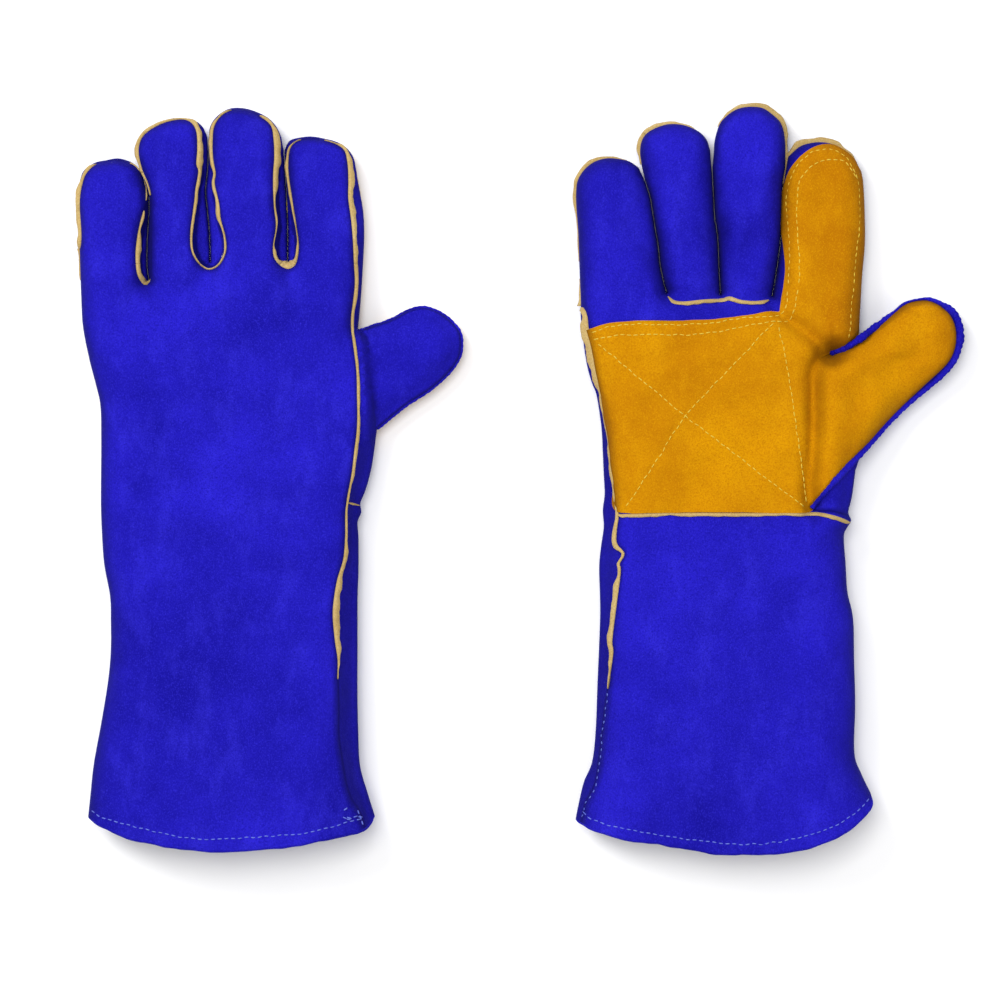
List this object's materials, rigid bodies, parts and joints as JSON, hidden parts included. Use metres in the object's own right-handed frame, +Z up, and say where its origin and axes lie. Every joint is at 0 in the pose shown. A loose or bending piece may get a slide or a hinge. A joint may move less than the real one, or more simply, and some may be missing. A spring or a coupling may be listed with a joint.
{
  "type": "welding gloves",
  "caption": "Pair of long lined leather welding gauntlets with wide open cuffs, welted seams, wing thumbs and a reinforced palm, laid flat side by side, one back up and one palm up.",
  "frame": {"origin": "on the bench under the middle of the pair's bounding box", "axes": "+X across the pair, from the left glove to the right glove; +Y from the cuffs to the fingertips; +Z up off the bench"},
  "size_m": [0.4824, 0.4072, 0.0553],
  "materials": {
    "blue_suede": "napped split-leather suede, dyed blue",
    "golden_suede": "napped split-leather suede, golden yellow",
    "welt_leather": "smooth undyed leather strip",
    "fleece_lining": "brushed cotton fleece",
    "canvas_lining": "plain-woven cotton canvas"
  },
  "bodies": {
    "left_hand": {"left_back": "blue_suede", "left_palm": "blue_suede", "left_cuff_front": "blue_suede", "left_seam_welts": "welt_leather", "left_cross_welts": "welt_leather", "left_palm_patch": "golden_suede", "left_hand_lining": "fleece_lining", "left_cuff_lining": "canvas_lining", "left_hem_turn": "blue_suede"},
    "left_little": {"left_little_back": "blue_suede", "left_little_front": "blue_suede", "left_little_welt": "welt_leather", "left_little_lining": "fleece_lining"},
    "left_ring": {"left_ring_back": "blue_suede", "left_ring_front": "blue_suede", "left_ring_welt": "welt_leather", "left_ring_lining": "fleece_lining"},
    "left_middle": {"left_middle_back": "blue_suede", "left_middle_front": "blue_suede", "left_middle_welt": "welt_leather", "left_middle_lining": "fleece_lining"},
    "left_index": {"left_index_back": "blue_suede", "left_index_front": "blue_suede", "left_index_welt": "welt_leather", "left_index_lining": "fleece_lining", "left_index_patch": "golden_suede"},
    "left_thumb": {"left_thumb_back": "blue_suede", "left_thumb_front": "golden_suede", "left_thumb_piping": "blue_suede", "left_thumb_lining": "fleece_lining"},
    "right_hand": {"right_back": "blue_suede", "right_palm": "blue_suede", "right_cuff_front": "blue_suede", "right_seam_welts": "welt_leather", "right_cross_welts": "welt_leather", "right_palm_patch": "golden_suede", "right_hand_lining": "fleece_lining", "right_cuff_lining": "canvas_lining", "right_hem_turn": "blue_suede"},
    "right_little": {"right_little_back": "blue_suede", "right_little_front": "blue_suede", "right_little_welt": "welt_leather", "right_little_lining": "fleece_lining"},
    "right_ring": {"right_ring_back": "blue_suede", "right_ring_front": "blue_suede", "right_ring_welt": "welt_leather", "right_ring_lining": "fleece_lining"},
    "right_middle": {"right_middle_back": "blue_suede", "right_middle_front": "blue_suede", "right_middle_welt": "welt_leather", "right_middle_lining": "fleece_lining"},
    "right_index": {"right_index_back": "blue_suede", "right_index_front": "blue_suede", "right_index_welt": "welt_leather", "right_index_lining": "fleece_lining", "right_index_patch": "golden_suede"},
    "right_thumb": {"right_thumb_back": "blue_suede", "right_thumb_front": "golden_suede", "right_thumb_piping": "blue_suede", "right_thumb_lining": "fleece_lining"}
  },
  "joints": [
    {"name": "left_little_fold", "type": "hinge", "parent": "left_hand", "child": "left_little", "pos_m": [-0.2243, 0.10275, 0.0311], "axis": [1, 0, 0], "range_deg": [0, 60]},
    {"name": "left_ring_fold", "type": "hinge", "parent": "left_hand", "child": "left_ring", "pos_m": [-0.1864, 0.10275, 0.0311], "axis": [1, 0, 0], "range_deg": [0, 60]},
    {"name": "left_middle_fold", "type": "hinge", "parent": "left_hand", "child": "left_middle", "pos_m": [-0.1484, 0.10275, 0.0311], "axis": [1, 0, 0], "range_deg": [0, 60]},
    {"name": "left_index_fold", "type": "hinge", "parent": "left_hand", "child": "left_index", "pos_m": [-0.1066, 0.10275, 0.0311], "axis": [1, 0, 0], "range_deg": [0, 60]},
    {"name": "left_thumb_fold", "type": "hinge", "parent": "left_hand", "child": "left_thumb", "pos_m": [-0.078, 0.05025, 0.0311], "axis": [0, -1, 0], "range_deg": [0, 50]},
    {"name": "right_little_fold", "type": "hinge", "parent": "right_hand", "child": "right_little", "pos_m": [0.0504, 0.10275, 0.0298], "axis": [1, 0, 0], "range_deg": [0, 70]},
    {"name": "right_ring_fold", "type": "hinge", "parent": "right_hand", "child": "right_ring", "pos_m": [0.0882, 0.10275, 0.0298], "axis": [1, 0, 0], "range_deg": [0, 70]},
    {"name": "right_middle_fold", "type": "hinge", "parent": "right_hand", "child": "right_middle", "pos_m": [0.125, 0.10275, 0.0298], "axis": [1, 0, 0], "range_deg": [0, 70]},
    {"name": "right_index_fold", "type": "hinge", "parent": "right_hand", "child": "right_index", "pos_m": [0.1662, 0.10275, 0.0298], "axis": [1, 0, 0], "range_deg": [0, 70]},
    {"name": "right_thumb_fold", "type": "hinge", "parent": "right_hand", "child": "right_thumb", "pos_m": [0.1952, 0.05025, 0.0298], "axis": [0, -1, 0], "range_deg": [0, 50]},
    {"name": "right_glove_apart", "type": "slide", "parent": "left_hand", "child": "right_hand", "axis": [1, 0, 0], "range_m": [0, 0.12]}
  ]
}
